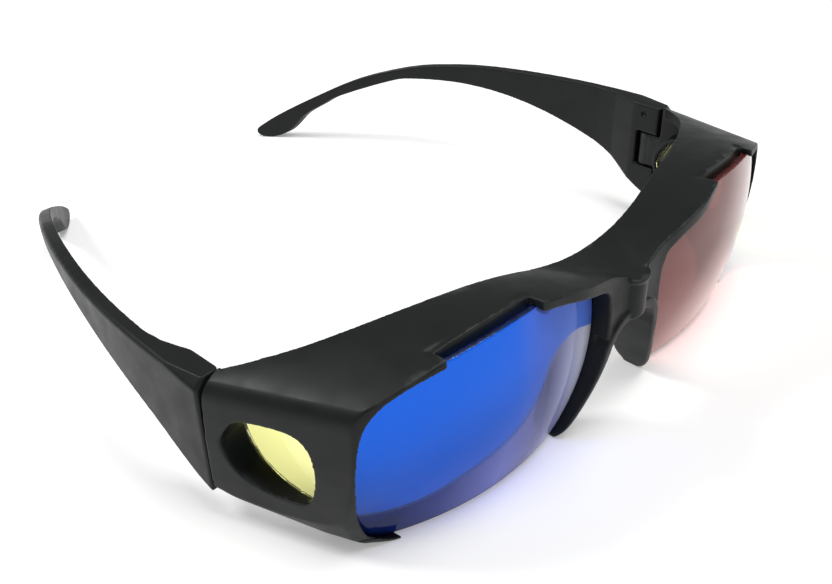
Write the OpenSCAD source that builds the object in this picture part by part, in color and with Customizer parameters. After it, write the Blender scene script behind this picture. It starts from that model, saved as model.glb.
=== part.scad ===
// Two-colour stereo viewing glasses of the wrap-around kind worn over spectacles.
// A black moulded front carries a blue and a red curved lens and has deep side
// wings, each with a small yellow window. Two arms fold on steel hinge pins.
// Millimetres. +Z is up, the front faces -Y and the arms run towards +Y.
// +X is the wearer's left. The front and both arm tips rest on Z = 0.
// Lengths along Y are laid out from the upper front corner of the wings, and the
// finished pieces are moved so that Y = 0 is half way along the glasses.

/* [Lenses] */
// Radius of the outer face of each lens
lens_r = 68; // [60:0.5:76]
// Thickness of each lens
lens_t = 1.2; // [0.8:0.1:1.8]
// Distance from the middle to the centre of each lens curve
eye_x = 29.5; // [27:0.1:33]
// Height of the centre of each lens curve
eye_z = 25.5; // [22:0.1:29]
// How far the lenses bulge in front of the wing corners
lens_fwd = 9; // [8:0.1:12]
// Distance from the middle to the inner edge of the lens opening
lens_in = 9; // [8.4:0.1:12]
// Width of the lens opening
lens_w = 57.3; // [52:0.1:62]
// Height of the top of the lens opening
lens_top = 40.7; // [37:0.1:45]
// Height of the free lower edge of each lens
lens_low = 0.6; // [0.3:0.1:2]
// How far the lens edge reaches into the frame
groove = 0.35; // [0.25:0.05:0.45]
// Gap between lens and groove on every side
lens_fit = 0.05; // [0.02:0.01:0.1]

/* [Brow and wings] */
// Wall thickness of the brow and the wings
wall = 2.6; // [2:0.1:3.4]
// Rim between the lens opening and the outside of the wing
rim = 1.1; // [1:0.1:3]
// Thickness of the lip in front of the lens
lip = 1.2; // [0.8:0.1:2]
// Thickness of the rim behind the lens
back_rim = 1.35; // [0.9:0.05:2]
// Length of the wings behind their front corner
wing_len = 29.7; // [25:0.1:36]
// How much the wings open outwards
wing_yaw = 18; // [14:0.5:22]
// Slope of the brow down towards the arms
brow_pitch = 6.5; // [4:0.5:9]
// Radius of the brow arch above each eye
brow_r = 57; // [50:0.5:70]
// Height of the brow crest above the lens opening
brow_rise = 2.7; // [2.6:0.1:4]
// Distance of the brow crest outside the lens centre
crest_out = 6; // [3:0.5:9]
// Radius of the rounded ridge between brow and wing
ridge_r = 5; // [3.8:0.1:7]
// Radius of the slight bulge of the wing side
side_r = 150; // [100:5:250]
// Radius of the tucked-in lower front corner of the wing
tuck_r = 21; // [18:0.5:30]
// Depth of the brow behind the front corners, at the middle
brow_back = 2.6; // [1.5:0.1:4]
// Slope of the lower edge of the wings
skirt_slope = 0.32; // [0.25:0.01:0.4]
// Start of the exposed lens edge, from the middle
notch_in = 29; // [26:0.5:32]
// End of the exposed lens edge, from the middle
notch_out = 50; // [46:0.5:54]

/* [Bridge and nose] */
// Width of the solid bridge
bridge_w = 14; // [10:0.5:15]
// Radius of the column at the bridge
column_r = 3.4; // [2.8:0.1:4]
// Distance of the column axis in front of the wing corners
column_fwd = 8.2; // [7.5:0.1:10]
// Overhang of the column lip
column_lip = 0.4; // [0.2:0.1:0.8]
// Height of the flat saddle between the brows
saddle_z = 35.3; // [34:0.1:37]
// Slope of the saddle up towards the back
saddle_tilt = 6; // [0:0.5:9]
// Height of the lower end of the column
column_low = 24.6; // [23:0.1:27]
// Height of the top of the nose gap
nose_top = 26; // [24:0.1:28]
// Width of the nose gap at its foot, on each side
nose_w = 14.8; // [13.5:0.1:15.5]
// How far the brow reaches in front of the lenses beside the bridge
visor_fwd = 2.4; // [1.8:0.1:3.5]
// How far the nose arms stand in front of the lenses
nose_fwd = 1.6; // [1:0.1:2.5]
// Thickness of the nose arms
nose_t = 2.2; // [1.8:0.1:3]
// Depth of the nose arms behind the wing corners
nose_back = 2; // [1.5:0.1:4]

/* [Lens hooks] */
// Distance from the middle to the inner end of each hook
hook_in = 53.4; // [50:0.1:57]
// Height of the hooks
hook_h = 2; // [1.6:0.1:3]
// Thickness of the hook in front of its slot
hook_t = 0.9; // [0.8:0.1:2]
// Width of the slot between hook and lens
hook_slot = 0.6; // [0.4:0.1:1.6]
// Length of the slot between hook and lens
hook_slot_len = 8.3; // [6:0.1:9]

/* [Side windows] */
// Length of each side window
window_w = 18.6; // [16:0.1:20]
// Height of each side window
window_h = 15.7; // [13:0.1:17]
// Distance of the window centre behind the middle of the wing
window_y = 2.55; // [1.65:0.05:3.65]
// Height of the window centre
window_z = 19.35; // [18:0.1:20.5]
// How much the window opens outwards
window_yaw = 4; // [0:0.5:8]
// Depth of the window from the wing side to the yellow plate, at its middle
window_depth = 4.2; // [3.8:0.1:6]
// Thickness of the collar around the window
collar_t = 2; // [1.6:0.1:2.6]
// Thickness of the yellow plate
plate_t = 1.2; // [0.8:0.1:1.6]
// How far the plate reaches into the collar
plate_edge = 0.8; // [0.5:0.1:1]
// Gap around the plate
plate_fit = 0.05; // [0.02:0.01:0.1]

/* [Hinges] */
// Radius of the hinge pins
pin_r = 0.75; // [0.6:0.05:1]
// Radial gap between pin and arm
pin_run = 0.05; // [0.03:0.01:0.08]
// Radial gap between pin and frame
pin_hold = 0.02; // [0.01:0.01:0.04]
// Radius of the hinge knuckles
knuckle_r = 1.9; // [1.7:0.1:2.3]
// Distance of the pin axis from the outer face
pin_in = 3.8; // [3.4:0.1:4.4]
// Distance of the pin axis behind the wing end
pin_back = 4.3; // [3.8:0.1:5]
// Width of the solid wing end that carries the knuckle
block_w = 5.6; // [5:0.1:7]
// Gap between the wing end and the arm
seam = 0.3; // [0.2:0.05:0.6]
// Height of the middle of the frame knuckle
knuckle_z = 20.4; // [18:0.1:23]
// Height of the frame knuckle
knuckle_h = 9; // [7:0.1:11]
// Height of the lower end of the pin
pin_low = 9.6; // [9.4:0.1:11]
// Height of the upper end of the pin
pin_high = 31; // [29:0.1:31.5]

/* [Arms] */
// Length of each arm from the seam to its tip
arm_len = 121.5; // [110:0.5:140]
// Thickness of each arm
arm_t = 3; // [2.4:0.1:3.6]
// Radius of the inward bend of each arm
arm_bend = 196.5; // [170:1:240]
// Height of the top of the arm at the seam
arm_top = 33; // [32:0.1:34]
// Height of the bottom of the arm at the seam
arm_bottom = 6.5; // [5:0.1:8]
// Height of the underside of the arm above the ear
arm_neck = 24.5; // [22:0.1:25.5]
// Radius of the rounded tip
tip_r = 2; // [1.5:0.1:2.5]
// Length of the thick inner root of each arm behind the pin
root_len = 22; // [12:0.5:30]
// Width of the bevel on the upper outer edge of each arm, at the seam
bevel = 2.3; // [1.5:0.1:2.8]
// Length over which that bevel runs out
bevel_len = 15; // [10:0.5:20]

/* [Hidden] */
$fn = 96;
reach = 200;
overlap = 0.5;
past = 1;
lens_cy = lens_r - lens_fwd;
front_r = lens_r + lip;
rear_r = lens_r - lens_t - lens_fit - back_rim;
rim_cut = 0.2;
notch_cut = 0.5;
notch_r = lens_r - lens_t - notch_cut;
notch_deep = 4;
crest_back = 1;
crest = [eye_x + crest_out, crest_back - lens_fwd, lens_top + brow_rise];
corner_y = 2;
side_drop = 22;
side_x = lens_in + lens_w + rim;
side_p = (side_x - crest[0]) * cos(wing_yaw) - (corner_y - crest[1]) * sin(wing_yaw);
half_w = crest[0] + (side_p + (wing_len - crest[1]) * sin(wing_yaw)) / cos(wing_yaw);
hinge_x = half_w - block_w;
pin_x = half_w - pin_in;
pin_y = wing_len + pin_back;
arm_y = wing_len + seam;
tip_y = arm_y + arm_len;
bend_cx = half_w - arm_bend;
mid_y = (tip_y - column_fwd - column_r - column_lip) / 2;
window_mid = wing_len / 2 + window_y;
window_x = side_x + (window_mid - corner_y) * tan(wing_yaw);
hook_r = lens_r + hook_slot + hook_t;
skirt_y = 4.5;
tuck_y = corner_y + 0.5;
tuck_z = 14;
tuck_yaw = 28.7;
tuck_pitch = 16;
slot_gap = 0.3;
knuckle_gap = 0.4;
web_in = 0.3;
web_len = 3.5;
strip = 1.6;
slot_back = 2.4;
pin_gap = 0.2;
root_pad = 0.1;
root_in = pin_x - knuckle_r - root_pad;
root_back = 4;
root_mid = 0.9;
root_end = 0.4;
root_under = 0.5;
tip_turn = 50;
shell_back = 20;
lens_ease = 0.3;
lens_land = 4;
hook_back = 1;
hook_lead = 1.2;
collar_back = 0.4;
pocket_run = 3;
wing_low = 40;
wing_deep = 70;
brow_turn = 150;
visor_back = 6;
visor_drop = 2;
visor_low = nose_top - visor_drop;
saddle_t = wall + 0.3;
saddle_w = 24;
saddle_up = 3.1;
lip_h = 1;
foot_drop = 0.4;
nose_rim = 3.5;
slot_low = knuckle_z - knuckle_h / 2 - slot_gap;
slot_high = knuckle_z + knuckle_h / 2 + slot_gap;

black = [0.16, 0.17, 0.17];
blue = [0.08, 0.36, 0.86];
red = [0.8, 0.22, 0.24];
yellow = [0.98, 0.97, 0.55];
steel = [0.62, 0.63, 0.65];

// Points along a circle from angle a0 to angle a1
function arc(c, r, a0, a1, n) = [
  for (i = [0:n])
    let (a = a0 + (a1 - a0) * i / n)
    c + r * [cos(a), sin(a)]
];

// Upper meeting point of two circles
function meet(a, ra, b, rb) =
  let (d = norm(b - a))
  let (u = (b - a) / d)
  let (t = (d * d + ra * ra - rb * rb) / (2 * d))
  let (h = sqrt(ra * ra - t * t))
  a + t * u + h * [u[1], -u[0]] * (u[0] < 0 ? 1 : -1);

// One step of a smooth curve between b and c
function step(a, b, c, d, t) =
  0.5 * (2 * b + (c - a) * t + (2 * a - 5 * b + 4 * c - d) * t * t + (3 * b - a - 3 * c + d) * t * t * t);

// Smooth open curve through points
function smooth(p, n) =
  let (e = len(p) - 1)
  concat(
    [for (i = [0:e - 1]) for (k = [0:n - 1])
      step(p[max(i - 1, 0)], p[i], p[i + 1], p[min(i + 2, e)], k / n)],
    [p[e]]
  );

// Smooth closed curve through points
function ring(p, n) =
  let (m = len(p))
  [for (i = [0:m - 1]) for (k = [0:n - 1])
    step(p[(i + m - 1) % m], p[i], p[(i + 1) % m], p[(i + 2) % m], k / n)];

// Open curve moved sideways, to the right of its run
function beside(p, d) =
  let (e = len(p) - 1)
  [for (i = [0:e])
    let (t = p[min(i + 1, e)] - p[max(i - 1, 0)])
    p[i] + d * [t[1], -t[0]] / norm(t)];

// Closed curve that runs anticlockwise, moved outwards
function around(p, d) =
  let (m = len(p))
  [for (i = [0:m - 1])
    let (t = p[(i + 1) % m] - p[(i + m - 1) % m])
    p[i] + d * [t[1], -t[0]] / norm(t)];

// Lens edge seen from the front, from the outer lower corner over the top
// to the inner lower corner, as shares of its width and height
lens_shape = [
  [0.83, 0.015], [0.895, 0.04], [0.94, 0.1], [0.985, 0.27], [1, 0.504], [0.989, 0.698],
  [0.954, 0.82], [0.879, 0.902], [0.744, 0.958], [0.522, 1], [0.3, 1.005], [0.16, 0.965],
  [0.05, 0.905], [0.004, 0.815], [0, 0.59], [0.027, 0.369], [0.075, 0.192], [0.121, 0.025]
];
lens_edge = smooth([for (s = lens_shape) [lens_in + s[0] * lens_w, s[1] * lens_top]], 4);

// Nose gap seen from the front, from its top to the foot of the left arm
nose_shape = [
  [0, 1], [0.26, 0.97], [0.44, 0.87], [0.535, 0.69], [0.67, 0.46], [0.8, 0.277], [0.92, 0.115], [1, 0.03]
];
nose_edge = smooth([for (s = nose_shape) [s[0] * nose_w, s[1] * nose_top]], 4);

// Outline of the side window seen from the side, as shares of half its size
window_shape = [
  [1, 0.06], [0.88, 0.5], [0.6, 0.86], [-0.1, 1], [-0.66, 0.95], [-0.95, 0.55],
  [-1, -0.12], [-0.9, -0.71], [-0.7, -0.97], [-0.2, -1], [0.3, -0.885], [0.75, -0.57]
];
window_edge = ring([for (s = window_shape) [s[0] * window_w / 2, s[1] * window_h / 2]], 4);

// Front edge of the visor as shares of its half width and its reach
visor_shape = [
  [-0.03, 0.37], [0.15, 0.33], [0.27, 0.42], [0.39, 0.79], [0.52, 1],
  [0.64, 0.92], [0.76, 0.5], [0.88, 0], [1, -0.83]
];
visor_run = 4;

// Front edge of a nose arm seen from the side, as shares of its reach before the wing
// corners and of the height of the nose gap, and its rear edge, as shares of the way
// from the rim beside the lens to the back of the foot and of the same height
nose_front = [[0.41, 0.015], [0.58, 0.115], [0.755, 0.346], [0.906, 0.635], [0.98, 0.92], [1, 1.19]];
nose_rear = [
  [0, 1.19], [0.05, 0.92], [0.41, 0.82], [0.73, 0.68], [0.88, 0.5], [1, 0.2], [0.75, 0.03], [0.2, 0.015]
];

// Height of the saddle above its middle, to either side, as shares of its half width and its rise
saddle_rise = [[0, 0], [0.25, 0.13], [0.5, 0.45], [0.75, 0.81], [1, 1]];

// Rear edge of the brow seen from above, out to the hinge block
rear_shape = [
  [0, 0], [0.17, 0.01], [0.34, 0.08], [0.53, 0.205], [0.66, 0.335],
  [0.77, 0.485], [0.86, 0.645], [0.94, 0.835], [1, 1]
];
block_len = 0.9;
rear_reach = wing_len - block_len - brow_back;
rear_edge = smooth([for (s = rear_shape) [s[0] * hinge_x, brow_back + s[1] * rear_reach]], 4);

// Upper edge of an arm seen from the side, as shares of its length and its height
arm_upper = [
  [0, 1], [0.2, 0.982], [0.44, 0.934], [0.56, 0.88], [0.65, 0.81], [0.77, 0.645], [0.88, 0.41], [0.95, 0.24]
];

// Lower edge of an arm up to its neck above the ear, as shares of its length and
// of its rise, and on to the tip, as shares of its length and of the neck's height
arm_root = [[0, 0], [0.045, 0.13], [0.14, 0.48], [0.27, 0.765], [0.395, 0.94], [0.516, 1]];
arm_tail = [
  [0.634, 0.96], [0.69, 0.89], [0.807, 0.633], [0.852, 0.482], [0.893, 0.33],
  [0.915, 0.19], [0.932, 0.09], [0.95, 0.03], [0.967, 0]
];

// Both sides of the glasses
module both() {
  children();
  mirror([1, 0, 0]) children();
}

// Finished position of every piece
module placed() {
  translate([0, -mid_y, 0]) children();
}

// Flat shape in X and Z, drawn out along Y
module along_y() {
  rotate([90, 0, 0]) linear_extrude(height = reach, center = true) children();
}

// Flat shape in Y and Z, drawn out along X from zero outwards
module along_x() {
  rotate([90, 0, 90]) linear_extrude(height = reach) children();
}

// Coordinates of the left wing: X across, Y up, Z forward along the wing
module on_wing() {
  translate(crest) rotate([90 - brow_pitch, 0, -wing_yaw]) children();
}

// Shape in the plane of the yellow plate, drawn out from depth d0 to depth d1
module in_window(d0, d1) {
  translate([window_x, window_mid, window_z]) rotate([0, 0, -window_yaw]) rotate([90, 0, 90])
    translate([0, 0, -d0]) linear_extrude(height = d0 - d1) children();
}

// Ball around the centre of the left lens curve
module ball(r) {
  translate([eye_x, lens_cy, eye_z]) sphere(r = r);
}

// Space under the brow and inside the wing, moved inwards by a wall
module wing_space(inset) {
  b = [0, -brow_r];
  s = [side_p - side_r, -side_drop];
  f = meet(b, brow_r - ridge_r, s, side_r - ridge_r);
  turn_b = atan2(f[1] - b[1], f[0] - b[0]);
  turn_s = atan2(f[1] - s[1], f[0] - s[0]);
  low = -asin(wing_low / side_r);
  on_wing() linear_extrude(height = reach, center = true) polygon(concat(
    arc(b, brow_r - inset, brow_turn, turn_b, 32),
    arc(f, ridge_r - inset, turn_b, turn_s, 6),
    arc(s, side_r - inset, turn_s, low, 6),
    [[0, -wing_deep]]
  ));
}

// Outside of the tucked-in lower front corner of the wing
module tuck(inset) {
  translate([side_x, tuck_y, tuck_z]) rotate([0, 0, -tuck_yaw]) rotate([tuck_pitch, 0, 0])
    translate([-tuck_r, 0, 0]) rotate([90, 0, 0]) difference() {
      translate([0, -2 * tuck_r, -reach / 2]) cube([2 * tuck_r, 2 * tuck_r, reach]);
      cylinder(r = tuck_r - inset, h = 2 * reach, center = true);
    }
}

// Everything above the lower edge of the wing
module above_skirt() {
  along_x() polygon([
    [-reach, 0],
    [skirt_y, 0],
    [skirt_y + reach, reach * skirt_slope],
    [skirt_y + reach, reach],
    [-reach, reach]
  ]);
}

// Forward visor of the brow between notch and bridge, seen from above
module visor() {
  n = notch_in + visor_run;
  front = smooth([for (v = visor_shape) [v[0] * n, -lens_fwd - v[1] * visor_fwd]], 4);
  translate([0, 0, visor_low]) linear_extrude(height = reach)
    polygon(concat(front, [[n, visor_back], [-past, visor_back]]));
}

// Brow and wing of the left half, hollow and open behind
module half_front() {
  difference() {
    intersection() {
      wing_space(0);
      above_skirt();
      translate([-overlap, -reach, 0]) cube([reach, reach + wing_len, reach]);
      union() {
        ball(front_r);
        visor();
      }
    }
    tuck(0);
    difference() {
      intersection() {
        wing_space(wall);
        ball(rear_r);
        translate([-past, -reach / 2, -past]) cube([past + hinge_x, reach, reach]);
      }
      tuck(wall);
    }
  }
}

// Smooth saddle that fills the valley between the two brows
module saddle() {
  right = [for (v = saddle_rise) [v[0] * saddle_w, v[1] * saddle_up]];
  left = [for (i = [len(right) - 1:-1:1]) [-right[i][0], right[i][1]]];
  rise = smooth(concat(left, right), 3);
  intersection() {
    translate([0, -column_fwd, saddle_z]) rotate([saddle_tilt, 0, 0]) along_y() polygon(concat(
      rise,
      [for (i = [len(rise) - 1:-1:0]) rise[i] - [0, saddle_t]]
    ));
    both() visor();
  }
}

// Space behind the brow
module behind_brow() {
  translate([0, 0, -past]) linear_extrude(height = reach) polygon(concat(
    [[-past, brow_back]],
    rear_edge,
    [[hinge_x, wing_len + past], [-past, wing_len + past]]
  ));
}

// Bridge column with its lip, and the saddle that fills the valley of the brows
module bridge() {
  translate([0, -column_fwd, saddle_z - lip_h]) cylinder(r = column_r + column_lip, h = lip_h);
  intersection() {
    translate([0, -column_fwd, column_low]) cylinder(r = column_r, h = saddle_z - column_low - overlap);
    along_y() union() {
      translate([0, column_low + column_r]) circle(r = column_r);
      translate([-column_r, column_low + column_r]) square([2 * column_r, saddle_z]);
    }
  }
  translate([-bridge_w / 2, -column_fwd, nose_top - past])
    cube([bridge_w, column_fwd + brow_back + past, saddle_z - nose_top + past - overlap]);
}

// Plate of the left nose arm
module nose_arm() {
  intersection() {
    along_y() polygon(concat(
      [for (p = nose_edge) p - [past, past]],
      [[nose_w + nose_t, nose_edge[len(nose_edge) - 1][1] - foot_drop]],
      [for (i = [len(nose_edge) - 1:-1:0]) beside(nose_edge, -nose_t)[i]]
    ));
    along_x() polygon(concat(
      smooth([for (v = nose_front) [-v[0] * (lens_fwd + nose_fwd), v[1] * nose_top]], 4),
      smooth([for (v = nose_rear) [v[0] * (nose_rim + nose_back) - nose_rim, v[1] * nose_top]], 4)
    ));
  }
}

// Hook that holds the outer lower corner of the lens
module hook() {
  difference() {
    intersection() {
      ball(hook_r);
      wing_space(0);
      translate([hook_in, shell_back - reach, 0]) cube([side_x, reach, hook_h]);
    }
    ball(rear_r - hook_back);
    tuck(0);
  }
}

// Collar around the side window inside the wing
module collar() {
  intersection() {
    in_window(window_depth + plate_t + collar_back, -wing_low) polygon(around(window_edge, collar_t));
    wing_space(wall / 2);
    translate([0, wing_len - reach, 0]) cube([reach, reach, reach]);
  }
}

// Knuckle of the frame with its web
module frame_knuckle() {
  translate([pin_x, pin_y, knuckle_z - knuckle_h / 2]) {
    cylinder(r = knuckle_r, h = knuckle_h);
    translate([web_in - knuckle_r, -pin_back - web_len, 0])
      cube([2 * (knuckle_r - web_in), pin_back + web_len, knuckle_h]);
  }
}

// Shell of the lens, or of its groove with a gap
module lens_shell(gap) {
  edge = beside(lens_edge, groove + gap);
  low = lens_low - gap;
  intersection() {
    difference() {
      ball(lens_r + gap);
      ball(lens_r - lens_t - gap);
    }
    along_y() polygon(concat(
      [[edge[0][0] - lens_land, low]],
      [for (e = edge) [e[0], max(e[1], low)]],
      [[edge[len(edge) - 1][0] + lens_ease, low]]
    ));
    translate([0, -reach, 0]) cube([reach, reach + shell_back, reach]);
  }
}

// Front opening of the lens
module lens_opening() {
  difference() {
    along_y() polygon(concat(
      [[lens_edge[0][0], -past]],
      lens_edge,
      [[lens_edge[len(lens_edge) - 1][0] + groove, -past]]
    ));
    ball(rear_r - rim_cut);
    translate([0, shell_back, -reach / 2]) cube([reach, reach, reach]);
  }
}

// Cut that bares the top edge of the lens
module notch() {
  difference() {
    translate([notch_in, -reach / 2, lens_top - notch_deep]) cube([notch_out - notch_in, reach, reach]);
    ball(notch_r);
  }
}

// Slot between the hook and the lens
module hook_slot_cut() {
  difference() {
    intersection() {
      ball(lens_r + hook_slot);
      translate([hook_in + hook_lead, -reach / 2, lens_low - lens_fit])
        cube([hook_slot_len, reach, hook_h + past]);
    }
    ball(lens_r - lens_t);
  }
}

// Front frame in one moulding
module front_frame() {
  placed() color(black) difference() {
    union() {
      difference() {
        union() {
          both() half_front();
          saddle();
          bridge();
        }
        both() behind_brow();
      }
      both() {
        nose_arm();
        hook();
        collar();
        frame_knuckle();
      }
    }
    both() {
      along_y() polygon(concat(
        [[-overlap, -past], [nose_w + overlap, -past]],
        [for (i = [len(nose_edge) - 1:-1:0]) nose_edge[i]],
        [[-overlap, nose_top]]
      ));
      lens_opening();
      lens_shell(lens_fit);
      notch();
      hook_slot_cut();
      in_window(window_depth + plate_t + pocket_run, -wing_low) polygon(window_edge);
      in_window(window_depth + plate_t + pocket_run, window_depth - plate_fit)
        polygon(around(window_edge, plate_edge + plate_fit));
      translate([pin_x, pin_y, knuckle_z]) cylinder(r = pin_r + pin_hold, h = 2 * knuckle_h, center = true);
    }
  }
}

// Left lens, red
module left_lens() {
  placed() color(red) lens_shell(0);
}

// Right lens, blue
module right_lens() {
  placed() color(blue) mirror([1, 0, 0]) lens_shell(0);
}

// Yellow plate of a side window
module side_lens() {
  in_window(window_depth + plate_t, window_depth) polygon(around(window_edge, plate_edge));
}

module left_side_lens() {
  placed() color(yellow) side_lens();
}

module right_side_lens() {
  placed() color(yellow) mirror([1, 0, 0]) side_lens();
}

// Hinge pin
module hinge_pin() {
  translate([pin_x, pin_y, pin_low]) cylinder(r = pin_r, h = pin_high - pin_low);
}

module left_hinge_pin() {
  placed() color(steel) hinge_pin();
}

module right_hinge_pin() {
  placed() color(steel) mirror([1, 0, 0]) hinge_pin();
}

// Side view of an arm
module arm_side() {
  upper = [for (v = arm_upper) [arm_y + v[0] * arm_len, v[1] * arm_top]];
  rise = arm_neck - arm_bottom;
  root = [for (v = arm_root) [arm_y + v[0] * arm_len, arm_bottom + v[1] * rise]];
  tail = [for (v = arm_tail) [arm_y + v[0] * arm_len, v[1] * arm_neck]];
  lower = smooth(concat(root, tail), 3);
  tip = arc([tip_y - tip_r, tip_r], tip_r, tip_turn, -90, 8);
  polygon(concat(
    smooth(concat(upper, [tip[0]]), 3),
    [for (i = [1:len(tip) - 1]) tip[i]],
    [for (i = [len(lower) - 1:-1:0]) lower[i]]
  ));
}

// Space above the bevel of the upper outer edge of an arm
module above_bevel() {
  translate([half_w, arm_y, arm_top - bevel]) rotate([0, 45, 0])
    rotate([atan(bevel * sin(45) / bevel_len), 0, 0])
      translate([-reach / 2, -reach / 2, 0]) cube([reach, reach, reach]);
}

// Arm with its two knuckles and a slot for the knuckle of the frame
module arm() {
  difference() {
    intersection() {
      along_x() arm_side();
      union() {
        difference() {
          translate([bend_cx, pin_y, 0]) cylinder(r = arm_bend, h = reach);
          translate([bend_cx, pin_y, -past]) cylinder(r = arm_bend - arm_t, h = reach + 2 * past);
        }
        intersection() {
          translate([pin_x, pin_y, 0]) cylinder(r = pin_back - seam, h = reach);
          translate([root_in, arm_y, 0]) cube([pin_in, pin_back - seam, reach]);
        }
        translate([pin_x, arm_y, 0]) cube([pin_in - arm_t / 2, pin_back - seam, reach]);
        linear_extrude(height = reach) polygon([
          [root_in, pin_y],
          [half_w - arm_t / 2, pin_y],
          [half_w - arm_t / 2 - root_under, pin_y + root_len],
          [half_w - arm_t - root_end, pin_y + root_len],
          [half_w - arm_t - root_mid, pin_y + root_len / 2],
          [root_in, pin_y + root_back]
        ]);
      }
    }
    translate([0, 0, slot_low]) {
      translate([hinge_x - strip, 0, 0]) cube([block_w, pin_y + slot_back, slot_high - slot_low]);
      translate([pin_x, pin_y, 0]) cylinder(r = knuckle_r + knuckle_gap, h = slot_high - slot_low);
    }
    translate([pin_x, pin_y, -past]) cylinder(r = pin_r + pin_run, h = pin_high + past + pin_gap);
    above_bevel();
  }
}

module left_temple() {
  placed() color(black) arm();
}

module right_temple() {
  placed() color(black) mirror([1, 0, 0]) arm();
}

front_frame();
left_lens();
right_lens();
left_side_lens();
right_side_lens();
left_hinge_pin();
right_hinge_pin();
left_temple();
right_temple();
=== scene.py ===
"""Looks of the two-colour stereo viewing glasses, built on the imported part."""
import math

import bmesh
import bpy
import numpy as np
from mathutils import Matrix, Vector


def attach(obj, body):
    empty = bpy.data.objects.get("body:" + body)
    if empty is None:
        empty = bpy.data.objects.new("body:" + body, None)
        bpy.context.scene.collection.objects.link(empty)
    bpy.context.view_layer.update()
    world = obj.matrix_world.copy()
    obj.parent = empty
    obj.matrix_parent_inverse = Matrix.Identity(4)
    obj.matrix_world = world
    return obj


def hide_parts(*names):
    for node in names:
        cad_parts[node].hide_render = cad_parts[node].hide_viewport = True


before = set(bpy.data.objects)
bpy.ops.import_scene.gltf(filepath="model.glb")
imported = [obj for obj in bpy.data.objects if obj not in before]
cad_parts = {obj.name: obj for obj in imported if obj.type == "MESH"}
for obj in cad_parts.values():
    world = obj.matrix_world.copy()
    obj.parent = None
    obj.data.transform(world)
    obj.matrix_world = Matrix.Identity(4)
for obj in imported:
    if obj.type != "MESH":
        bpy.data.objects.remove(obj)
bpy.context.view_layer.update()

MM = 0.001

# Camera of the photograph
CAMERA_PLACE = Vector((-150.31, -165.78, 147.36)) * MM
CAMERA_AZIMUTH = -45.82
CAMERA_ELEVATION = 34.46
CAMERA_ROLL = -1.41
CAMERA_LENS = 45.43
SENSOR_WIDTH = 36.0
CLIP_START = 10 * MM

# Light of the scene
KEY_PLACE = Vector((80, -200, 850)) * MM
KEY_SIZE = 420 * MM
KEY_POWER = 4.6
BACK_PLACE = Vector((-450, 500, 770)) * MM
BACK_SIZE = 240 * MM
BACK_POWER = 4.2
LAMP_AIM = Vector((0, -40, 20)) * MM
WORLD_LIGHT = 0.28

# Floor, a little below the part
FLOOR_SIZE = 6.0
FLOOR_DROP = 0.05 * MM
FLOOR_COLOUR = (0.85, 0.85, 0.845, 1)
FLOOR_GLOW = 0.28

# Mesh fineness and smoothing of the moulded and the polished pieces
SHELL_GRAIN = 0.2 * MM
LENS_GRAIN = 0.25 * MM
WELD_DISTANCE = 0.001 * MM
PULL = 0.5
EDGE_PASSES = 12
EDGE_LIMIT = 0.22 * MM
CREASE_PASSES = 400
CREASE_LIMIT = 0.4 * MM
CREASE_LEVELS = (0.8, 0.95)
RIM_PASSES = 10
RIM_LIMIT = 0.1 * MM
WORN_PASSES = 3
WORN_HEIGHT = 0.02 * MM
MOST_TRIANGLES = 190000
TINY = 1e-12

# How squarely a lens face looks ahead, and where its polished faces end at the rim
AHEAD_LEVEL = 0.6
FACE_LEVELS = (0.7, 0.95)
FACE_LEAST = 0.5

# Bend of the left arm's outer face, the rounding of its upper edge, and the dimple at its hinge
ARM_AXIS = (-120.1 * MM, -35.75 * MM)
ARM_RADIUS = 196.5 * MM
ARM_ROUND = 1.1 * MM
ARM_STEP = 0.5 * MM
DIMPLE_PLACE = (70.6 * MM, -35.0 * MM, 30.2 * MM)
DIMPLE_RADIUS = 0.9 * MM
DIMPLE_DEPTH = 0.6 * MM

# Lip of the frame behind the bared upper edge of the lenses, by distance from the middle
LENS_CENTRE = (29.5 * MM, -10.75 * MM, 25.5 * MM)
LIP_EDGE = ((26.2 * MM, 38.9 * MM, 51.6 * MM), (40.9 * MM, 40.7 * MM, 39.0 * MM))
LIP_REAR = (64.7 * MM, 65.3 * MM)
LIP_FRONT = 66.65 * MM
LIP_INNER_END = (28 * MM, 29 * MM)
LIP_OUTER_END = (51 * MM, 50 * MM)
LIP_RISE = 2.0 * MM
LIP_DROP = 1.5 * MM

# Rounded lower front corner of the wings, where the lens hooks begin
HEEL_PLACE = 63.5 * MM
HEEL_WIDE = 6.0 * MM
HEEL_TALL = 4.0 * MM
HEEL_BACK = (-59 * MM, -63 * MM)
HEEL_LIFT = 1.2 * MM

# Black plastic: each noise has a scale per metre and a detail
PLASTIC_MOTTLE = (60, 4)
PLASTIC_GRAIN = (5200, 2)
PLASTIC_SMEAR = (180, 5)
PLASTIC_TONES = ((0.007, 0.0085, 0.008, 1), (0.011, 0.013, 0.0125, 1))
PLASTIC_WORN = (0.06, 0.066, 0.064, 1)
PLASTIC_WORN_RANGE = (0.25, 0.6)
PLASTIC_WORN_MOST = 0.5
PLASTIC_SMEAR_RANGE = (0.3, 0.75)
PLASTIC_ROUGH = (0.36, 0.5)
PLASTIC_IOR = 1.3
GRAIN_STRENGTH = 0.25
GRAIN_HEIGHT = 0.03 * MM
NOISE_RANGE = (0.3, 0.7)

# Dyed lenses
LENS_IOR = 1.27
LENS_CLOUD = (45, 3)
LENS_CLOUD_RANGE = (0.25, 0.75)
LENS_SMEAR = (220, 4)
LENS_SMEAR_RANGE = (0.35, 0.75)
LENS_ROUGH = (0.01, 0.045)
BLUE_DYE = (0.003, 0.104, 0.645)
RED_DYE = (0.35, 0.09, 0.08)
RED_SHADE = (0.85, 0.6, 0.56)
RED_IOR = 1.55
RED_CLEAR = 0.5
YELLOW_DYE = (1.0, 0.99, 0.4)

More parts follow.
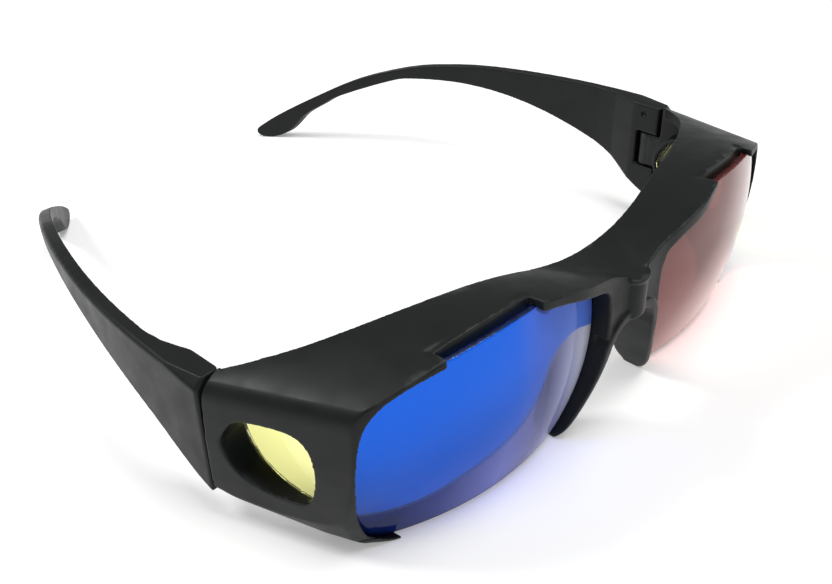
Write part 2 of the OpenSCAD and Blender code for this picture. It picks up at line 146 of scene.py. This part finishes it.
# Frosted rims of the lenses
BLUE_RIM = (0.004, 0.014, 0.09)
RED_RIM = (0.09, 0.008, 0.008)
RIM_CUT = (900, 3)
RIM_DARKEST = 0.25
RIM_ROUGH = (0.3, 0.55)
RIM_MIRROR = 0.3

# Painted shade and reflection in a paler zone of the blue lens: its upper limit as distance from the
# middle and height, in mm
BAND_EDGE = ((13, 28.5), (20, 30.5), (25, 29), (28, 23.5), (33, 17.5), (45, 12.5), (57, 9.5), (65, 10.5))
BAND_WIDE = 70.0
BAND_TALL = 40.0
BAND_SOFT = 0.4
BAND_SHADE_AND_REFLECTION_COLOURS = (
    (13, (0.8, 0.82, 0.98)),
    (19, (0.42, 0.44, 0.72)),
    (26, (0.17, 0.18, 0.44)),
    (36, (0.22, 0.26, 0.72)),
    (50, (0.04, 0.065, 0.34)),
    (58, (0.01, 0.03, 0.2)),
)
BAND_CLEAR = 0.5

# Painted reflection: lighter and less clear blue at the inner end of the blue lens
INNER_REFLECTION_CLEAR = 0.12
INNER_REFLECTION_RANGE = (20 / BAND_WIDE, 34 / BAND_WIDE)
INNER_REFLECTION_COLOUR = (0.14, 0.28, 1.0, 1)

# Painted reflection: paler colour of the red lens where it is seen at a flat angle
FLAT_ANGLE_REFLECTION_BLEND = 0.5
FLAT_ANGLE_REFLECTION_RANGE = (0.64, 0.88)
FLAT_ANGLE_REFLECTION_COLOUR = (1.0, 0.74, 0.7, 1)

# Hinge pin steel
STEEL_STREAK = (900, 3)
STEEL_STRETCH = (1, 1, 12)
STEEL_TONES = (0.42, 0.6)
STEEL_ROUGH = (0.22, 0.38)


def points_of(mesh):
    """Vertex places as an array."""
    places = np.zeros(len(mesh.vertices) * 3)
    mesh.vertices.foreach_get("co", places)
    return places.reshape(-1, 3)


def normals_of(mesh):
    """Vertex normals as an array."""
    found = np.zeros(len(mesh.vertices) * 3, np.float32)
    mesh.vertices.foreach_get("normal", found)
    return found.reshape(-1, 3).astype(float)


def edges_of(mesh):
    """Pairs of joined vertices as an array."""
    pairs = np.zeros(len(mesh.edges) * 2, np.int32)
    mesh.edges.foreach_get("vertices", pairs)
    return pairs.reshape(-1, 2)


def set_points(mesh, places):
    """Writes vertex places back to a mesh."""
    mesh.vertices.foreach_set("co", places.astype(np.float32).ravel())
    mesh.update()


def between(values, start, end):
    """Share of the way from a start to an end, from 0 to 1."""
    return np.clip((values - start) / (end - start), 0, 1)


def averaged(values, pairs):
    """Mean over the neighbours of each vertex."""
    first, second = pairs[:, 0], pairs[:, 1]
    count = len(values)
    share = np.bincount(first, minlength=count) + np.bincount(second, minlength=count)
    columns = [
        np.bincount(first, v[second], count) + np.bincount(second, v[first], count)
        for v in values.reshape(count, -1).T
    ]
    return (np.array(columns).T / np.maximum(share, 1)[:, None]).reshape(values.shape)


def bounded(old, new, limit):
    """New places that lie no further from the old ones than a limit."""
    moved = new - old
    length = np.linalg.norm(moved, axis=1, keepdims=True)
    return old + moved * np.minimum(1, limit / np.maximum(length, TINY))


def relax(places, pairs, passes, limit):
    """Draws each vertex towards its neighbours."""
    fresh = places
    for _ in range(passes):
        fresh = fresh + PULL * (averaged(fresh, pairs) - fresh)
    return bounded(places, fresh, limit)


def relax_part(places, pairs, passes, weight, limit):
    """Draws the vertices that have a weight towards their neighbours."""
    busy = weight > 0
    pairs = pairs[busy[pairs[:, 0]] | busy[pairs[:, 1]]]
    used, pairs = np.unique(pairs, return_inverse=True)
    pairs = pairs.reshape(-1, 2)
    part = places[used]
    pull = PULL * weight[used][:, None]
    for _ in range(passes):
        part = part + pull * (averaged(part, pairs) - part)
    fresh = places.copy()
    fresh[used] = part
    return bounded(places, fresh, limit)


def remeshed(node, name, grain):
    """New object with an even fine mesh in the shape of a CAD node."""
    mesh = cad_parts[node].data.copy()
    work = bmesh.new()
    work.from_mesh(mesh)
    bmesh.ops.remove_doubles(work, verts=work.verts, dist=WELD_DISTANCE)
    work.to_mesh(mesh)
    work.free()
    mesh.materials.clear()
    rough = bpy.data.objects.new(name + "_rough", mesh)
    bpy.context.scene.collection.objects.link(rough)
    modifier = rough.modifiers.new("grain", "REMESH")
    modifier.mode = "VOXEL"
    modifier.voxel_size = grain
    seen = rough.evaluated_get(bpy.context.evaluated_depsgraph_get())
    fine = bpy.data.meshes.new_from_object(seen)
    bpy.data.objects.remove(rough)
    bpy.data.meshes.remove(mesh)
    piece = bpy.data.objects.new(name, fine)
    fine.name = name
    bpy.context.scene.collection.objects.link(piece)
    return piece


def thinned(piece):
    """Fewer triangles where a mesh is finer than its shape needs."""
    triangles = sum(len(p.vertices) - 2 for p in piece.data.polygons)
    modifier = piece.modifiers.new("thin", "DECIMATE")
    modifier.ratio = min(1.0, MOST_TRIANGLES / triangles)
    seen = piece.evaluated_get(bpy.context.evaluated_depsgraph_get())
    mesh = bpy.data.meshes.new_from_object(seen)
    piece.modifiers.clear()
    old = piece.data
    piece.data = mesh
    bpy.data.meshes.remove(old)
    mesh.name = piece.name
    return mesh


def shade_smooth(mesh):
    """Smooth shading on every face."""
    mesh.polygons.foreach_set("use_smooth", np.ones(len(mesh.polygons), bool))
    mesh.update()


def store_edges(mesh, places, pairs):
    """Keeps how much each vertex stands out as an attribute for worn edges."""
    lift = np.einsum("ij,ij->i", places - averaged(places, pairs), normals_of(mesh))
    for _ in range(WORN_PASSES):
        lift = averaged(lift, pairs)
    layer = mesh.attributes.new("worn", "FLOAT", "POINT")
    layer.data.foreach_set("value", between(lift, 0, WORN_HEIGHT).astype(np.float32))


def soften_top(places, side):
    """Rounds the upper outer edge of an arm, on the left with side 1 and on the right with -1."""
    across = places[:, 0] * side - ARM_AXIS[0]
    along = places[:, 1] - ARM_AXIS[1]
    reach = np.hypot(across, along)
    steps = ((along - along.min()) / ARM_STEP).astype(int)
    tops = np.zeros(steps.max() + 1)
    np.maximum.at(tops, steps, places[:, 2])
    middles = along.min() + (np.arange(len(tops)) + 0.5) * ARM_STEP
    top = np.interp(along, middles, tops)
    inward = ARM_ROUND - (ARM_RADIUS - reach)
    upward = ARM_ROUND - (top - places[:, 2])
    far = np.hypot(inward, upward)
    corner = (inward > 0) & (upward > 0) & (far > ARM_ROUND)
    share = np.where(corner, 1 - ARM_ROUND / np.maximum(far, ARM_ROUND), 0)
    places = places.copy()
    places[:, 0] -= side * share * inward * across / reach
    places[:, 1] -= share * inward * along / reach
    places[:, 2] -= share * upward
    return places


def press_dimple(places, side):
    """Presses a small round dimple into the inner face of an arm at its hinge."""
    centre = np.array(DIMPLE_PLACE) * (side, 1, 1)
    near = np.linalg.norm(places - centre, axis=1) / DIMPLE_RADIUS
    places = places.copy()
    places[:, 0] += side * DIMPLE_DEPTH * np.clip(1 - near**2, 0, 1)
    return places


def deepen_lip(places):
    """Draws the lip behind the bared upper edge of each lens down, so that no gap shows there."""
    wide = np.abs(places[:, 0])
    mirrored = np.column_stack([wide, places[:, 1], places[:, 2]])
    far = np.linalg.norm(mirrored - np.array(LENS_CENTRE), axis=1)
    above = places[:, 2] - np.interp(wide, *LIP_EDGE)
    share = between(far, *LIP_REAR) * (far < LIP_FRONT)
    share = share * between(above, LIP_RISE, 0) * (above > -LIP_RISE)
    share = share * between(wide, *LIP_INNER_END) * between(wide, *LIP_OUTER_END)
    places = places.copy()
    places[:, 2] -= LIP_DROP * share
    return places


def lift_heel(places):
    """Rounds the lower front corner of each wing."""
    share = between(np.abs(np.abs(places[:, 0]) - HEEL_PLACE), HEEL_WIDE, 0)
    share = share * share * (3 - 2 * share)
    share = share * between(places[:, 2], HEEL_TALL, 0) * between(places[:, 1], *HEEL_BACK)
    places = places.copy()
    places[:, 2] += HEEL_LIFT * share
    return places


def moulded(node, name, body, material, side=0):
    """Moulded shell in place of a CAD node: an arm with side 1 or -1, or else the front."""
    piece = remeshed(node, name, SHELL_GRAIN)
    mesh = piece.data
    pairs = edges_of(mesh)
    places = relax(points_of(mesh), pairs, EDGE_PASSES, EDGE_LIMIT)
    set_points(mesh, places)
    flat = between(normals_of(mesh)[:, 2], *CREASE_LEVELS)
    places = relax_part(places, pairs, CREASE_PASSES, flat, CREASE_LIMIT)
    if side:
        places = press_dimple(soften_top(places, side), side)
    else:
        places = lift_heel(deepen_lip(places))
    set_points(mesh, places)
    mesh = thinned(piece)
    shade_smooth(mesh)
    store_edges(mesh, points_of(mesh), edges_of(mesh))
    mesh.materials.append(material)
    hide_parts(node)
    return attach(piece, body)


def ball_through(places):
    """Centre and radius of the ball that passes closest to points."""
    rows = np.hstack([2 * places, np.ones((len(places), 1))])
    found = np.linalg.lstsq(rows, (places**2).sum(1), rcond=None)[0]
    centre = found[:3]
    return centre, math.sqrt(found[3] + centre @ centre)


def faces_ahead(mesh, sign):
    """Vertices of the lens face that looks to the front with sign 1, or to the back with -1."""
    chosen = [v for p in mesh.polygons if p.normal.y * sign < -AHEAD_LEVEL for v in p.vertices]
    return points_of(mesh)[np.unique(chosen)]


def lens(node, name, material, rim_material):
    """Polished lens with both faces on true balls and a frosted rim in place of a CAD node."""
    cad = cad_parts[node].data
    centre, outer = ball_through(faces_ahead(cad, 1))
    inner = np.median(np.linalg.norm(faces_ahead(cad, -1) - centre, axis=1))
    piece = remeshed(node, name, LENS_GRAIN)
    mesh = piece.data
    places = relax(points_of(mesh), edges_of(mesh), RIM_PASSES, RIM_LIMIT)
    set_points(mesh, places)
    out = places - centre
    reach = np.linalg.norm(out, axis=1)
    facing = np.einsum("ij,ij->i", normals_of(mesh), out) / reach
    share = between(np.abs(facing), *FACE_LEVELS)
    target = np.where(facing > 0, outer, inner)
    polished = reach + share * (target - reach)
    set_points(mesh, centre + out * (polished / reach)[:, None])
    shade_smooth(mesh)
    mesh.materials.append(material)
    mesh.materials.append(rim_material)
    for face in mesh.polygons:
        face.material_index = int(max(share[v] for v in face.vertices) < FACE_LEAST)
    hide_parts(node)
    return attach(piece, "front")


def dress(node, material):
    """Gives a CAD node that is shown as it is a material."""
    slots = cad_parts[node].data.materials
    slots.clear()
    slots.append(material)


def material_base(name):
    """New material with its nodes, links and main shader."""
    material = bpy.data.materials.new(name)
    material.use_nodes = True
    nodes = material.node_tree.nodes
    return material, nodes, material.node_tree.links, nodes["Principled BSDF"]


def grey(level):
    """Grey colour of one level."""
    return (level, level, level, 1)


def opaque(tint):
    """Colour with full cover from the three parts of a tint."""
    return tuple(tint) + (1,)


def noise(nodes, links, vector, scale, detail):
    """Noise over object space."""
    made = nodes.new("ShaderNodeTexNoise")
    made.inputs["Scale"].default_value = scale
    made.inputs["Detail"].default_value = detail
    links.new(vector, made.inputs["Vector"])
    return made.outputs["Fac"]


def ramp(nodes, links, value, low, high, dark, light):
    """Value between two levels turned into a colour or a grey."""
    made = nodes.new("ShaderNodeValToRGB")
    made.color_ramp.elements[0].position = low
    made.color_ramp.elements[1].position = high
    made.color_ramp.elements[0].color = dark
    made.color_ramp.elements[1].color = light
    links.new(value, made.inputs["Fac"])
    return made.outputs["Color"]


def grey_ramp(nodes, links, value, span, levels):
    """Value over a span turned into a grey between two levels."""
    return ramp(nodes, links, value, *span, grey(levels[0]), grey(levels[1]))


def blend(nodes, links, factor, first, second):
    """Mix of a linked colour and a linked or plain one."""
    mix = nodes.new("ShaderNodeMix")
    mix.data_type = "RGBA"
    links.new(factor, mix.inputs["Factor"])
    links.new(first, mix.inputs["A"])
    if isinstance(second, tuple):
        mix.inputs["B"].default_value = second
    else:
        links.new(second, mix.inputs["B"])
    return mix.outputs["Result"]


def math_node(nodes, links, kind, first, second):
    """Sum, product or other of two values."""
    made = nodes.new("ShaderNodeMath")
    made.operation = kind
    for socket, value in zip(made.inputs, (first, second)):
        if isinstance(value, (int, float)):
            socket.default_value = value
        else:
            links.new(value, socket)
    return made.outputs["Value"]


def black_plastic():
    """Satin black moulded plastic with fine grain and worn edges."""
    material, nodes, links, shader = material_base("satin_black_plastic")
    space = nodes.new("ShaderNodeTexCoord").outputs["Object"]
    mottle = noise(nodes, links, space, *PLASTIC_MOTTLE)
    grain = noise(nodes, links, space, *PLASTIC_GRAIN)
    smear = noise(nodes, links, space, *PLASTIC_SMEAR)
    tone = ramp(nodes, links, mottle, *NOISE_RANGE, *PLASTIC_TONES)
    edge = nodes.new("ShaderNodeAttribute")
    edge.attribute_name = "worn"
    rubbed = math_node(nodes, links, "MULTIPLY", edge.outputs["Fac"], smear)
    mask = grey_ramp(nodes, links, rubbed, PLASTIC_WORN_RANGE, (0, PLASTIC_WORN_MOST))
    links.new(blend(nodes, links, mask, tone, PLASTIC_WORN), shader.inputs["Base Color"])
    rough = grey_ramp(nodes, links, smear, PLASTIC_SMEAR_RANGE, PLASTIC_ROUGH)
    links.new(rough, shader.inputs["Roughness"])
    bump = nodes.new("ShaderNodeBump")
    bump.inputs["Strength"].default_value = GRAIN_STRENGTH
    bump.inputs["Distance"].default_value = GRAIN_HEIGHT
    links.new(grain, bump.inputs["Height"])
    links.new(bump.outputs["Normal"], shader.inputs["Normal"])
    shader.inputs["IOR"].default_value = PLASTIC_IOR
    return material


def dyed_rim(name, tint):
    """Frosted rim of a dyed lens, dark because little light leaves it there."""
    material, nodes, links, shader = material_base(name)
    space = nodes.new("ShaderNodeTexCoord").outputs["Object"]
    cut = noise(nodes, links, space, *RIM_CUT)
    dark = opaque(c * RIM_DARKEST for c in tint)
    links.new(ramp(nodes, links, cut, *NOISE_RANGE, dark, opaque(tint)), shader.inputs["Base Color"])
    links.new(grey_ramp(nodes, links, cut, NOISE_RANGE, RIM_ROUGH), shader.inputs["Roughness"])
    shader.inputs["Specular IOR Level"].default_value = RIM_MIRROR
    return material


def band_limit(nodes, links, across):
    """Height of the upper limit of the zone of painted shade and reflection, as a share of the zone's
    full height.
    """
    limit = nodes.new("ShaderNodeFloatCurve")
    curve = limit.mapping.curves[0]
    for wide, tall in BAND_EDGE[1:-1]:
        curve.points.new(wide / BAND_WIDE, tall / BAND_TALL)
    ends = (curve.points[0], curve.points[-1])
    for point, (wide, tall) in zip(ends, (BAND_EDGE[0], BAND_EDGE[-1])):
        point.location = (wide / BAND_WIDE, tall / BAND_TALL)
    limit.mapping.update()
    links.new(across, limit.inputs["Value"])
    return limit.outputs["Value"]


def painted_band_colour(nodes, links, across):
    """Colour of the zone, from a pale painted reflection at the inner end to a dark painted shade at the
    outer end of the lens.
    """
    pale = nodes.new("ShaderNodeValToRGB")
    links.new(across, pale.inputs["Fac"])
    steps = pale.color_ramp.elements
    while len(steps) < len(BAND_SHADE_AND_REFLECTION_COLOURS):
        steps.new(0.5)
    for step, (wide, tone) in zip(steps, BAND_SHADE_AND_REFLECTION_COLOURS):
        step.position = wide / BAND_WIDE
        step.color = opaque(tone)
    return pale.outputs["Color"]


def painted_shade_and_reflection_band(nodes, links, shader, space, colour):
    """Painted shade and reflection in a paler, less clear zone along the lower and the inner edge of the
    right lens.
    """
    parts = nodes.new("ShaderNodeSeparateXYZ")
    links.new(space, parts.inputs["Vector"])
    across = math_node(nodes, links, "MULTIPLY", parts.outputs["X"], -1 / (BAND_WIDE * MM))
    height = math_node(nodes, links, "MULTIPLY", parts.outputs["Z"], 1 / (BAND_TALL * MM))
    under = math_node(nodes, links, "SUBTRACT", band_limit(nodes, links, across), height)
    under = math_node(nodes, links, "MULTIPLY", under, BAND_TALL / BAND_SOFT)
    inside = grey_ramp(nodes, links, under, (0, 1), (0, 1))
    # Painted reflection: lighter blue and a less clear lens towards the inner end
    inward = grey_ramp(nodes, links, across, INNER_REFLECTION_RANGE, (1, 0))
    upper = blend(nodes, links, inward, colour, INNER_REFLECTION_COLOUR)
    clear = grey_ramp(nodes, links, inside, (0, 1), (1, BAND_CLEAR))
    fade = grey_ramp(nodes, links, across, INNER_REFLECTION_RANGE, (INNER_REFLECTION_CLEAR, 1))
    links.new(math_node(nodes, links, "MINIMUM", clear, fade), shader.inputs["Transmission Weight"])
    return blend(nodes, links, inside, upper, painted_band_colour(nodes, links, across))


def painted_flat_angle_reflection(nodes, links, shader, space, colour):
    """Painted reflection: paler colour where a lens is seen at a flat angle."""
    weight = nodes.new("ShaderNodeLayerWeight")
    weight.inputs["Blend"].default_value = FLAT_ANGLE_REFLECTION_BLEND
    flat = grey_ramp(nodes, links, weight.outputs["Facing"], FLAT_ANGLE_REFLECTION_RANGE, (0, 1))
    return blend(nodes, links, flat, colour, FLAT_ANGLE_REFLECTION_COLOUR)


def tinted_lens(name, tint, depth, mirror, ior=LENS_IOR, clear_share=1.0, shade=None, zone=None):
    """Dyed plastic with slight smears, which lets coloured light through."""
    material, nodes, links, shader = material_base(name)
    space = nodes.new("ShaderNodeTexCoord").outputs["Object"]
    cloud = noise(nodes, links, space, *LENS_CLOUD)
    smear = noise(nodes, links, space, *LENS_SMEAR)
    deep = opaque(c * depth for c in tint)
    colour = ramp(nodes, links, cloud, *LENS_CLOUD_RANGE, deep, opaque(tint))
    shader.inputs["Transmission Weight"].default_value = clear_share
    # A zone adds painted shade or painted reflection to the dye colour
    if zone:
        colour = zone(nodes, links, shader, space, colour)
    links.new(colour, shader.inputs["Base Color"])
    links.new(grey_ramp(nodes, links, smear, LENS_SMEAR_RANGE, LENS_ROUGH), shader.inputs["Roughness"])
    shader.inputs["IOR"].default_value = ior
    shader.inputs["Specular IOR Level"].default_value = mirror
    clear = nodes.new("ShaderNodeBsdfTransparent")
    clear.inputs["Color"].default_value = opaque(shade or tint)
    path = nodes.new("ShaderNodeLightPath")
    mix = nodes.new("ShaderNodeMixShader")
    links.new(path.outputs["Is Shadow Ray"], mix.inputs["Fac"])
    links.new(shader.outputs["BSDF"], mix.inputs[1])
    links.new(clear.outputs["BSDF"], mix.inputs[2])
    links.new(mix.outputs["Shader"], nodes["Material Output"].inputs["Surface"])
    return material


def drawn_steel():
    """Hinge pin steel with fine lines round the pin."""
    material, nodes, links, shader = material_base("drawn_steel")
    space = nodes.new("ShaderNodeTexCoord").outputs["Object"]
    lines = nodes.new("ShaderNodeMapping")
    lines.inputs["Scale"].default_value = STEEL_STRETCH
    links.new(space, lines.inputs["Vector"])
    streak = noise(nodes, links, lines.outputs["Vector"], *STEEL_STREAK)
    links.new(grey_ramp(nodes, links, streak, NOISE_RANGE, STEEL_TONES), shader.inputs["Base Color"])
    links.new(grey_ramp(nodes, links, streak, NOISE_RANGE, STEEL_ROUGH), shader.inputs["Roughness"])
    shader.inputs["Metallic"].default_value = 1.0
    return material


def floor_material():
    """Pale floor that keeps the shadows and is white to the eye and in polished faces."""
    material, nodes, links, shader = material_base("pale_floor")
    nodes.remove(shader)
    pale = nodes.new("ShaderNodeBsdfDiffuse")
    pale.inputs["Color"].default_value = FLOOR_COLOUR
    glow = nodes.new("ShaderNodeEmission")
    path = nodes.new("ShaderNodeLightPath").outputs
    seen = math_node(nodes, links, "MAXIMUM", path["Is Camera Ray"], path["Is Glossy Ray"])
    seen = math_node(nodes, links, "MAXIMUM", seen, path["Is Transmission Ray"])
    links.new(math_node(nodes, links, "MULTIPLY", seen, FLOOR_GLOW), glow.inputs["Strength"])
    both = nodes.new("ShaderNodeAddShader")
    links.new(pale.outputs["BSDF"], both.inputs[0])
    links.new(glow.outputs["Emission"], both.inputs[1])
    links.new(both.outputs["Shader"], nodes["Material Output"].inputs["Surface"])
    return material


def make_floor():
    """Large plain floor under the glasses."""
    half = FLOOR_SIZE / 2
    corners = [(-half, -half, 0), (half, -half, 0), (half, half, 0), (-half, half, 0)]
    mesh = bpy.data.meshes.new("floor")
    mesh.from_pydata(corners, [], [(0, 1, 2, 3)])
    mesh.materials.append(floor_material())
    floor = bpy.data.objects.new("floor", mesh)
    bpy.context.scene.collection.objects.link(floor)
    floor.location.z = -FLOOR_DROP


def area_lamp(name, place, size, power):
    """Soft square lamp that looks at the middle of the front."""
    lamp = bpy.data.lights.new(name, "AREA")
    lamp.size = size
    lamp.energy = power
    holder = bpy.data.objects.new(name, lamp)
    holder.location = place
    aim = LAMP_AIM - place
    holder.rotation_euler = aim.to_track_quat("-Z", "Y").to_euler()
    bpy.context.scene.collection.objects.link(holder)


def make_light():
    """Soft lamps and an even pale world."""
    area_lamp("key", KEY_PLACE, KEY_SIZE, KEY_POWER)
    area_lamp("back", BACK_PLACE, BACK_SIZE, BACK_POWER)
    world = bpy.data.worlds.new("studio")
    world.use_nodes = True
    ground = world.node_tree.nodes["Background"]
    ground.inputs["Color"].default_value = grey(1)
    ground.inputs["Strength"].default_value = WORLD_LIGHT
    bpy.context.scene.world = world


def make_camera():
    """Camera at the photograph's place and angle."""
    angles = (CAMERA_AZIMUTH, CAMERA_ELEVATION, CAMERA_ROLL)
    azimuth, elevation, roll = (math.radians(angle) for angle in angles)
    back = Vector((
        math.sin(azimuth) * math.cos(elevation),
        -math.cos(azimuth) * math.cos(elevation),
        math.sin(elevation),
    ))
    level = Vector((0, 0, 1)).cross(back).normalized()
    upright = back.cross(level)
    right = math.cos(roll) * level + math.sin(roll) * upright
    camera = bpy.data.cameras.new("camera")
    camera.lens = CAMERA_LENS
    camera.sensor_width = SENSOR_WIDTH
    camera.sensor_fit = "HORIZONTAL"
    camera.clip_start = CLIP_START
    holder = bpy.data.objects.new("camera", camera)
    turn = Matrix((right, back.cross(right), back)).transposed()
    holder.matrix_world = Matrix.Translation(CAMERA_PLACE) @ turn.to_4x4()
    bpy.context.scene.collection.objects.link(holder)
    bpy.context.scene.camera = holder


make_camera()
make_floor()
make_light()

# Frame and arms
plastic = black_plastic()
moulded("front_frame", "front_shell", "front", plastic)
moulded("left_temple", "left_arm_shell", "left_arm", plastic, 1)
moulded("right_temple", "right_arm_shell", "right_arm", plastic, -1)

# Lenses in front of the eyes
# Blue lens: dye, with painted shade and reflection in a zone along its lower and inner edge
blue = tinted_lens("blue_dye_painted_shade_and_reflection", BLUE_DYE, depth=0.93, mirror=0.1, zone=painted_shade_and_reflection_band)
# Red lens: dye, with a painted reflection where it is seen at a flat angle
red = tinted_lens(
    "red_dye_painted_reflection", RED_DYE, depth=0.95, mirror=0.5,
    ior=RED_IOR, clear_share=RED_CLEAR, shade=RED_SHADE, zone=painted_flat_angle_reflection,
)
lens("right_lens", "blue_lens", blue, dyed_rim("blue_rim", BLUE_RIM))
lens("left_lens", "red_lens", red, dyed_rim("red_rim", RED_RIM))

# Side plates and hinge pins, shown as they are in CAD
yellow = tinted_lens("yellow_dye", YELLOW_DYE, depth=0.98, mirror=0.3)
steel = drawn_steel()
for side in ("left", "right"):
    dress(f"{side}_side_lens", yellow)
    dress(f"{side}_hinge_pin", steel)

bpy.context.scene.view_settings.view_transform = "Standard"
